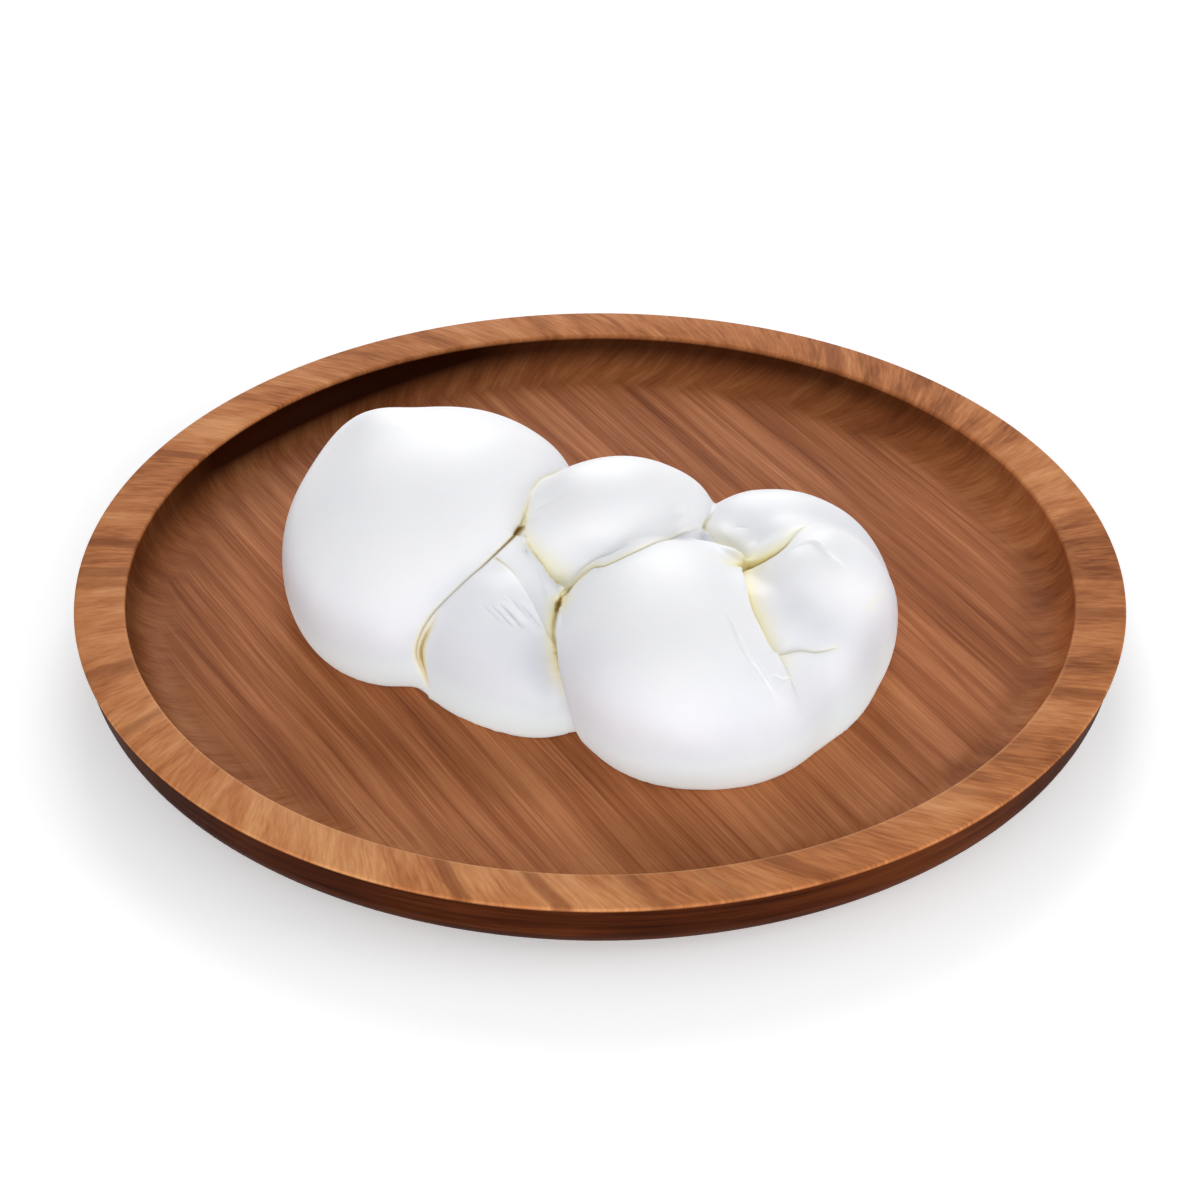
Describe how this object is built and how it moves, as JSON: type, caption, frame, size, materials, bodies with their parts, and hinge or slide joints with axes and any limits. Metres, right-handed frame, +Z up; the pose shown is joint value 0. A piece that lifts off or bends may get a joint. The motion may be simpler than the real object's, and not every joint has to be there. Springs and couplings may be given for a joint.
{
  "type": "mozzarella braid on a wooden board",
  "caption": "Braid of fresh white mozzarella, plaited from thick rolls with fused ends, lying in a round wooden board with a flat rim and a sunken floor.",
  "frame": {"origin": "centre of the board's underside, on the surface that it stands on", "axes": "+Z up out of the board; +X to the right and -Y towards the viewer of the picture, with the braid's big end at -X"},
  "size_m": [0.28, 0.28, 0.0495],
  "materials": {
    "wood": "oiled reddish-brown hardwood, satin",
    "cheese": "moist white fresh cheese, soft satin sheen, faint yellow in the folds"
  },
  "bodies": {
    "root": {"board": "wood", "braid": "cheese"}
  },
  "joints": []
}
